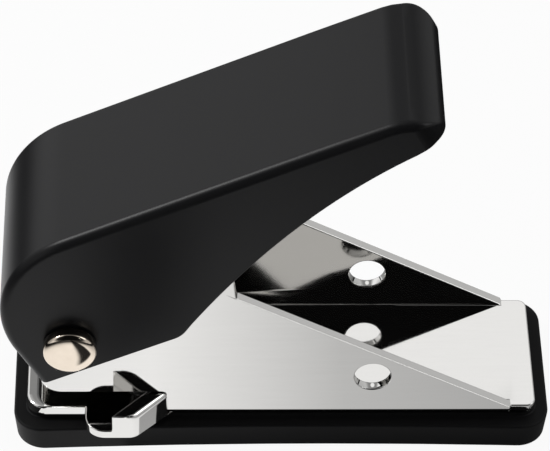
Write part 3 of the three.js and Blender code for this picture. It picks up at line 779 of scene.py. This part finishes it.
def buildPivot():
    seat = lever["halfWidth"] + common["seatGap"]
    bore = common["shank"] + common["seatGap"]
    socket = seat + pivot["capSocket"]
    shankEnd = socket - common["seatGap"]
    rivet = [(0, -shankEnd), (common["shank"], -shankEnd), (common["shank"], seat)] + headProfile(seat, 1)
    finishPiece(turned(rivet, 72, "Y", pivotSpot), "pivotRivet", warmNickel,
                "frame", "pivot_rivet")
    cap = [(0, -socket), (bore, -socket), (bore, -seat)] + headProfile(seat, -1)
    finishPiece(turned(cap, 72, "Y", pivotSpot), "pivotRivetCap", warmNickel,
                "frame", "pivot_rivet_cap")
    end = halfChannel - common["seatGap"]
    sleeve = rectangle(bore, bore + pivot["sleeveWall"], -end, end, [pivot["sleeveSoftness"]] * 4, 2)
    finishPiece(turned(sleeve, 48, "Y", pivotSpot), "pivotSleeve", zincSteel,
                "frame", "pivot_sleeve")
    slack = (lever["halfWidth"] - lever["wall"] - common["halfFrame"] - pivot["washerThickness"]) / 2
    low = common["halfFrame"] + slack
    washers = [(1, "nearPivotWasher", "near_pivot_washer"), (-1, "farPivotWasher", "far_pivot_washer")]
    for sign, name, node in washers:
        ends = sorted([sign * low, sign * (low + pivot["washerThickness"])])
        ring = rectangle(bore, pivot["washerRadius"], *ends, [pivot["washerSoftness"]] * 4, 2)
        finishPiece(turned(ring, 48, "Y", pivotSpot), name, whiteNylon, "frame", node)


buildPivot()
print("pivot built")


# drive: bracket and cross pin in the lever, punch, bushes and spring in the frame
drive = {
    "arm": 12.0, "pinRadius": 1.0, "pinClearance": 0.25, "pinSoftness": 0.15,
    "bracketThickness": 1.2, "bracketInside": 4.4, "bracketLength": 12.0, "earRadius": 2.6,
    "bracketSoftness": 0.2,
    "punchRadius": 1.2, "headRadius": 3.4, "headHeight": 6.0, "recess": 0.4,
    "tipSoftness": 0.03, "headLowSoftness": 0.25, "headTopSoftness": 0.4,
    "washerRadius": 3.9, "washerThickness": 0.5, "washerSoftness": 0.08,
    "bushRadius": 2.6, "bushLength": 5.8, "flangeRadius": 4.0, "flangeThickness": 1.0,
    "bushSoftness": 0.15, "bushTopSoftness": 0.2, "boreSoftness": 0.1,
    "dieRadius": 3.0, "dieClearance": 0.12, "dieEdge": 0.03, "dieSoftness": 0.12,
    "springRadius": 3.3, "wireRadius": 0.35, "turns": 6, "turnSteps": 32, "wireSides": 10,
    "springLow": 14.15, "springHigh": 23.567,
}
punchSpot = (common["punchX"], 0, 0)
punchHeadLow = common["drivePinZ"] - drive["headHeight"] / 2


def buildBracket():
    past = common["overrun"]
    arm, thick = drive["arm"], drive["bracketThickness"]
    top = lever["top"] - lever["wall"] - common["seatGap"]
    halfTop = drive["bracketLength"] / 2
    outer = drive["bracketInside"] + thick
    outline = arcPoints((arm, 0), drive["earRadius"], math.pi, 2 * math.pi, 16)
    outline += [Vector((arm + halfTop, top - thick)), Vector((arm + halfTop, top)),
                Vector((arm - halfTop, top)), Vector((arm - halfTop, top - thick))]
    bracket = prism(outline, -outer, outer, "across")
    inside = drive["bracketInside"]
    room = block([arm - halfTop - past, arm + halfTop + past], [-inside, inside],
                 [-drive["earRadius"] - past, top - thick])
    bore = drive["pinRadius"] + drive["pinClearance"]
    combine(bracket, room, "DIFFERENCE")
    combine(bracket, crossHole(bore, outer + past, arm, 0, 32), "DIFFERENCE")
    finishPiece(bracket, "driveBracket", zincSteel, "lever", "drive_bracket",
                soft=drive["bracketSoftness"], segments=2, move=leverPlace)
    radius, soft = drive["pinRadius"], drive["pinSoftness"]
    pin = roundedOutline([(0, -outer), (radius, -outer, soft), (radius, outer, soft), (0, outer)], 3)
    finishPiece(turned(pin, 32, "Y", (arm, 0, 0)), "drivePin", groundSteel,
                "lever", "drive_pin", move=leverPlace)


def buildPunch():
    reach = drive["headRadius"] + common["overrun"]
    tip = common["jawBottom"] + drive["recess"]
    headTop = punchHeadLow + drive["headHeight"]
    body = roundedOutline([
        (0, tip), (drive["punchRadius"], tip, drive["tipSoftness"]), (drive["punchRadius"], punchHeadLow),
        (drive["headRadius"], punchHeadLow, drive["headLowSoftness"]),
        (drive["headRadius"], headTop, drive["headTopSoftness"]), (0, headTop),
    ], 4)
    punch = turned(body, 48, "Z", punchSpot)
    # the cross slot leaves the pin room to move along as the lever turns
    shift = drive["arm"] * (1 - math.cos(common["tilt"])) / 2
    halfHigh = drive["pinRadius"] + drive["pinClearance"]
    slot = rectangle(common["punchX"] - shift - halfHigh, common["punchX"] + shift + halfHigh,
                     common["drivePinZ"] - halfHigh, common["drivePinZ"] + halfHigh,
                     [drive["pinRadius"]] * 4, 8)
    combine(punch, prism(slot, -reach, reach, "across"), "DIFFERENCE")
    finishPiece(punch, "punchPin", groundSteel, "punch", "punch_pin")
    low = punchHeadLow - common["seatGap"] - drive["washerThickness"]
    ring = rectangle(drive["punchRadius"] + common["seatGap"], drive["washerRadius"],
                     low, low + drive["washerThickness"], [drive["washerSoftness"]] * 4, 2)
    finishPiece(turned(ring, 48, "Z", punchSpot), "punchHeadWasher", zincSteel,
                "punch", "punch_head_washer")


def buildBushes():
    bore = drive["punchRadius"] + drive["pinClearance"]
    radius, flange, soft = drive["bushRadius"], drive["flangeRadius"], drive["bushSoftness"]
    flangeLow = common["jawFloor"] + common["seatGap"]
    flangeHigh = flangeLow + drive["flangeThickness"]
    top = common["jawBottom"] + drive["bushLength"]
    bush = roundedOutline([
        (bore, common["jawBottom"]), (radius, common["jawBottom"], soft),
        (radius, flangeLow), (flange, flangeLow, soft),
        (flange, flangeHigh, drive["bushTopSoftness"]), (radius, flangeHigh),
        (radius, top, drive["bushTopSoftness"]), (bore, top, drive["boreSoftness"]),
    ], 3)
    finishPiece(turned(bush, 48, "Z", punchSpot), "guideBush", groundSteel,
                "frame", "guide_bush")
    edge, soft = drive["dieEdge"], drive["dieSoftness"]
    die = rectangle(drive["punchRadius"] + drive["dieClearance"], drive["dieRadius"],
                    common["plateBottom"], common["plateTop"], [edge, soft, soft, edge], 2)
    finishPiece(turned(die, 48, "Z", punchSpot), "dieBush", groundSteel,
                "frame", "die_bush")


def buildSpring():
    # one open wire at a single length; the real spring shortens as the punch goes down
    sides, steps = drive["wireSides"], drive["turns"] * drive["turnSteps"]
    up = Vector((0, 0, 1))
    rings = []
    for k in range(steps + 1):
        angle = 2 * math.pi * k / drive["turnSteps"]
        height = drive["springLow"] + (drive["springHigh"] - drive["springLow"]) * k / steps
        out = Vector((math.cos(angle), math.sin(angle), 0))
        centre = out * drive["springRadius"] + Vector((common["punchX"], 0, height))
        turns = [2 * math.pi * s / sides for s in range(sides)]
        rings.append([centre + (out * math.cos(t) + up * math.sin(t)) * drive["wireRadius"] for t in turns])
    obj = finishPiece(lofted("spring", rings), "punchSpring", springWire,
                      "frame", "punch_spring")
    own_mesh(obj)


buildBracket()
buildPunch()
buildBushes()
buildSpring()
print("drive built")


# floor, light and camera; places in millimetres
studio = {
    "floorColours": ("f4f4f4", "f1f1f1"), "mottleSize": 40.0,
    "floorSize": 1600.0, "floorDepth": 4.0, "cameraGlow": 0.93,
    "glowAlong": [(-140, 0.06), (-60, 1.1), (-20, 1.17), (-5, 0.94),
                  (10, 0.69), (32, 0.58), (80, 0.19), (140, 0.05)],
    "glowNear": 62.0, "glowFar": 130.0, "glowLeast": 0.06,
    # painted reflection of shade: a dark patch in the floor's mirrored glow, in front of the ear
    "paintedDarkX": (-29.5, -14.0), "paintedDarkY": -29.6, "paintedDarkSlant": 0.55, "paintedDarkSoft": 1.6, "paintedDarkLevel": 0.02,
    # painted shadow in the floor's mirrored glow, close to the tray beside the guide
    "trayShadowX": (-25.0, -23.0), "trayShadowY": (-17.4, -16.0), "trayShadowLevel": 0.42,
    "skyLevel": 1.15, "darkLevel": 0.014, "darkToward": (0, -0.78, 0.62),
    "darkInner": 0.80, "darkOuter": 0.56,
    "skyAlong": [(-1, 0.3), (-0.62, 1), (-0.47, 1), (-0.3, 0.28), (0.3, 0.28), (0.5, 0.6), (1, 0.45)],
    "windowToward": (0, 0.713, 0.70), "windowOuter": 0.982, "windowInner": 0.992,
    "softboxAt": (-420, 90, 430), "softboxSize": (130.0, 130.0), "softboxPower": 1.1,
    "sideBoxAt": (370, -30, 345), "sideBoxSize": (200.0, 200.0), "sideBoxPower": 0.25,
    "stripLightAt": (310, -500, 310), "stripLightSize": (12.0, 110.0), "stripLightPower": 0.02,
    "lampsAim": (-10, 0, 20),
}
# fitted to the photograph; down and aside in degrees, lens and sensor in mm, clip in metres
view = {
    "at": (-15.45, -373.76, 401.48), "down": 44.5, "aside": 1.538,
    "lens": 229.09, "sensor": 36, "clip": (0.01, 20),
}


def product(tree, factors):
    level = factors[0]
    for factor in factors[1:]:
        level = addNode(tree, "ShaderNodeMath", {0: level, 1: factor}, operation="MULTIPLY").outputs[0]
    return level


def levelAlong(tree, value, stops):
    # straight lines between stops of (place, level): each stretch adds its own rise
    level = stops[0][1]
    for (here, low), (after, high) in zip(stops, stops[1:]):
        rise = addNode(tree, "ShaderNodeMapRange", {
            "Value": value, "From Min": here, "From Max": after, "To Min": 0.0, "To Max": high - low,
        })
        level = addNode(tree, "ShaderNodeMath", {0: level, 1: rise.outputs[0]}, operation="ADD").outputs[0]
    return level


def shadeWithin(tree, edges, shade):
    # shade where every edge is passed, one elsewhere; an edge is (value, start, end), soft between them
    passed = [addNode(tree, "ShaderNodeMapRange", {
        "Value": value, "From Min": start, "From Max": end,
    }, interpolation_type="SMOOTHSTEP").outputs[0] for value, start, end in edges]
    level = addNode(tree, "ShaderNodeMapRange", {
        "Value": product(tree, passed), "To Min": 1.0, "To Max": shade,
    })
    return level.outputs[0]


def mirroredGlow(tree, coords):
    # how bright the floor is where metal mirrors it: a pool of light that fades to the right and far away
    spot = addNode(tree, "ShaderNodeVectorMath", {0: coords, "Scale": 1 / mm}, operation="SCALE").outputs[0]
    split = addNode(tree, "ShaderNodeSeparateXYZ", {"Vector": spot})
    x, y = split.outputs["X"], split.outputs["Y"]
    away = addNode(tree, "ShaderNodeVectorMath", {0: spot}, operation="LENGTH").outputs["Value"]
    pool = addNode(tree, "ShaderNodeMapRange", {
        "Value": away, "From Min": studio["glowNear"], "From Max": studio["glowFar"],
        "To Min": 1.0, "To Max": studio["glowLeast"],
    }, interpolation_type="SMOOTHSTEP").outputs[0]
    # painted reflection of shade: a dark patch in the mirrored glow before the ear, out of the picture, its
    # far edge aslant
    soft, (left, right) = studio["paintedDarkSoft"], studio["paintedDarkX"]
    slant = addNode(tree, "ShaderNodeVectorMath", {
        0: spot, 1: (studio["paintedDarkSlant"], 1.0, 0.0),
    }, operation="DOT_PRODUCT").outputs["Value"]
    farEdge = studio["paintedDarkY"] + left * studio["paintedDarkSlant"]
    paintedDark = shadeWithin(tree, [
        (x, left - soft, left + soft), (x, right + soft, right - soft),
        (slant, farEdge + soft, farEdge - soft),
    ], studio["paintedDarkLevel"])
    # painted shadow: the floor's mirrored glow grows dim close to the tray, beside the guide
    foot = shadeWithin(tree, [(x, *studio["trayShadowX"]), (y, *studio["trayShadowY"])], studio["trayShadowLevel"])
    return product(tree, [levelAlong(tree, x, studio["glowAlong"]), pool, paintedDark, foot])


def buildFloor():
    size = studio["floorSize"] / 2
    floor = block([-size, size], [-size, size], [-studio["floorDepth"], 0])
    floor.name = "floor"
    floor.data.transform(Matrix.Scale(mm, 4))
    # flat white paint: the picture sees it near white with the shadow kept, metal sees its glow
    material, tree, coords = newMaterial("paleFloorPaint")
    mottle = addNode(tree, "ShaderNodeTexNoise", {
        "Vector": coords, "Scale": perMillimetre(studio["mottleSize"]), "Detail": 3.0,
    })
    tone = addNode(tree, "ShaderNodeMix", {
        "Factor": mottle.outputs[0],
        "A": linearColour(studio["floorColours"][0]), "B": linearColour(studio["floorColours"][1]),
    }, data_type="RGBA")
    matt = addNode(tree, "ShaderNodeBsdfDiffuse", {"Color": tone.outputs["Result"]})
    path = addNode(tree, "ShaderNodeLightPath").outputs
    mirrored = addNode(tree, "ShaderNodeMath", {
        0: path["Is Glossy Ray"], 1: path["Is Transmission Ray"],
    }, operation="MAXIMUM").outputs[0]
    strength = addNode(tree, "ShaderNodeMix", {
        "Factor": mirrored, "A": 1.0, "B": mirroredGlow(tree, coords),
    }, data_type="FLOAT")
    white = addNode(tree, "ShaderNodeEmission", {"Strength": strength.outputs[0]})
    seen = product(tree, [path["Is Camera Ray"], studio["cameraGlow"]])
    share = addNode(tree, "ShaderNodeMath", {0: mirrored, 1: seen}, operation="MAXIMUM").outputs[0]
    mix = addNode(tree, "ShaderNodeMixShader", {"Fac": share, 1: matt.outputs[0], 2: white.outputs[0]})
    addNode(tree, "ShaderNodeOutputMaterial", {"Surface": mix.outputs[0]})
    floor.data.materials.append(material)


def addLamp(name):
    width, height = studio[name + "Size"]
    lamp = bpy.data.lights.new(name, "AREA")
    lamp.shape = "RECTANGLE"
    lamp.size = width * mm
    lamp.size_y = height * mm
    lamp.energy = studio[name + "Power"]
    box = bpy.data.objects.new(name, lamp)
    box.location = Vector(studio[name + "At"]) * mm
    aim = Vector(studio["lampsAim"]) * mm - box.location
    box.rotation_euler = aim.to_track_quat("-Z", "Y").to_euler()
    bpy.context.scene.collection.objects.link(box)


def buildLight():
    world = bpy.data.worlds.new("studio")
    bpy.context.scene.world = world
    world.use_nodes = True
    tree = world.node_tree
    tree.nodes.clear()
    coords = addNode(tree, "ShaderNodeTexCoord").outputs["Generated"]
    direction = addNode(tree, "ShaderNodeVectorMath", {0: coords}, operation="NORMALIZE").outputs[0]
    # dark in front of the set
    facing = addNode(tree, "ShaderNodeVectorMath", {
        0: direction, 1: Vector(studio["darkToward"]).normalized(),
    }, operation="DOT_PRODUCT").outputs["Value"]
    dark = addNode(tree, "ShaderNodeMapRange", {
        "Value": facing, "From Min": studio["darkOuter"], "From Max": studio["darkInner"],
        "To Min": studio["skyLevel"], "To Max": studio["darkLevel"],
    }, interpolation_type="SMOOTHSTEP").outputs[0]
    # a pale panel to the left and a window behind, dim between them
    window = addNode(tree, "ShaderNodeVectorMath", {
        0: direction, 1: Vector(studio["windowToward"]).normalized(),
    }, operation="DOT_PRODUCT").outputs["Value"]
    opening = addNode(tree, "ShaderNodeMapRange", {
        "Value": window, "From Min": studio["windowOuter"], "From Max": studio["windowInner"],
    }, interpolation_type="SMOOTHSTEP").outputs[0]
    sideways = addNode(tree, "ShaderNodeSeparateXYZ", {"Vector": direction}).outputs["X"]
    pale = addNode(tree, "ShaderNodeMath", {
        0: opening, 1: levelAlong(tree, sideways, studio["skyAlong"]),
    }, operation="MAXIMUM").outputs[0]
    # the picture itself sees plain white
    path = addNode(tree, "ShaderNodeLightPath").outputs
    strength = addNode(tree, "ShaderNodeMix", {
        "Factor": path["Is Camera Ray"], "A": product(tree, [dark, pale]), "B": 1.0,
    }, data_type="FLOAT")
    sky = addNode(tree, "ShaderNodeBackground", {"Color": (1, 1, 1, 1), "Strength": strength.outputs[0]})
    addNode(tree, "ShaderNodeOutputWorld", {"Surface": sky.outputs[0]})
    for name in ("softbox", "sideBox", "stripLight"):
        addLamp(name)


def buildCamera():
    data = bpy.data.cameras.new("camera")
    data.sensor_width = view["sensor"]
    data.lens = view["lens"]
    data.clip_start, data.clip_end = view["clip"]
    camera = bpy.data.objects.new("camera", data)
    tilt = Matrix.Rotation(math.radians(90 - view["down"]), 4, "X")
    tilt = tilt @ Matrix.Rotation(math.radians(-view["aside"]), 4, "Y")
    camera.matrix_world = Matrix.Translation(Vector(view["at"]) * mm) @ tilt
    bpy.context.scene.collection.objects.link(camera)
    bpy.context.scene.camera = camera


buildFloor()
buildLight()
buildCamera()
bpy.context.scene.view_settings.view_transform = "Standard"
print("studio ready")
